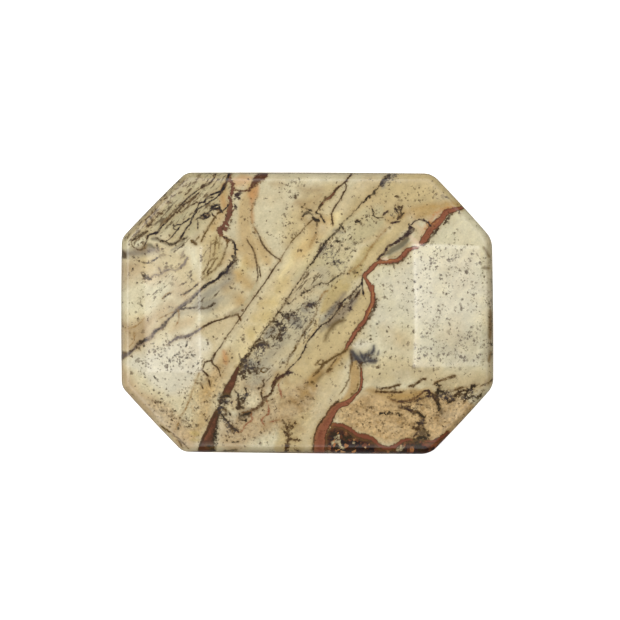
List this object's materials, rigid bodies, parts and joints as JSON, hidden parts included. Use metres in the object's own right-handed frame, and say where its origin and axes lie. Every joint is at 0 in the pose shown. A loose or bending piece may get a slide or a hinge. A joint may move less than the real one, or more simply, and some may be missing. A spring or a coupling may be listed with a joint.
{
  "type": "landscape jasper cabochon",
  "caption": "Polished cut-cornered rectangular cabochon of landscape jasper, with a low dome, a rounded shoulder, a thin girdle and a flat back.",
  "frame": {"origin": "middle of the flat back", "axes": "+Z out of the dome, +X along the stone's long side towards the plain cream end, +Y across it"},
  "size_m": [0.04, 0.0302, 0.0056],
  "materials": {
    "jasper": "polished, cream and tan with rust and dark brown veins"
  },
  "bodies": {
    "root": {"cabochon": "jasper"}
  },
  "joints": []
}
